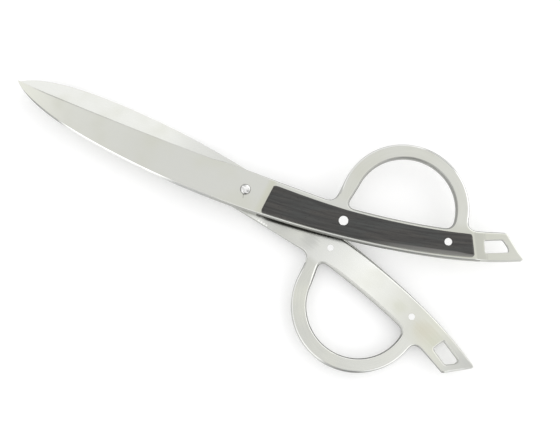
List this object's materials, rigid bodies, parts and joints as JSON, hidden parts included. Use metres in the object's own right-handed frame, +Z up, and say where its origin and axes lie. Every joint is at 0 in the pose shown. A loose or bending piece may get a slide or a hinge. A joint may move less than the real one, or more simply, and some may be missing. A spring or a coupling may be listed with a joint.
{
  "type": "scissors",
  "caption": "Household scissors of flat steel with D-shaped finger bows, dark wood handle scales held by flush rivets, a domed pivot rivet and slanted tails with hanging holes.",
  "frame": {"origin": "under the middle of the closed scissors' box, on the surface that they lie on", "axes": "+X from the blade tips to the handles, +Y to the front half's bow, +Z up, from the back scale to the front scale"},
  "size_m": [0.219, 0.0964, 0.0121],
  "materials": {
    "steel": "satin brushed",
    "dark_wood": "oiled",
    "rivet": "bright",
    "polished_steel": "polished"
  },
  "bodies": {
    "back_half": {"back_blade": "steel", "back_scale": "dark_wood", "back_rivet_large": "rivet", "back_rivet_small": "rivet", "pivot_rivet": "polished_steel", "pivot_washer": "steel"},
    "front_half": {"front_blade": "steel", "front_scale": "dark_wood", "front_rivet_large": "rivet", "front_rivet_small": "rivet"}
  },
  "joints": [
    {"name": "pivot", "type": "hinge", "parent": "back_half", "child": "front_half", "pos_m": [-0.003, 0, 0.00605], "axis": [0, 0, 1], "range_deg": [0, 70]}
  ]
}
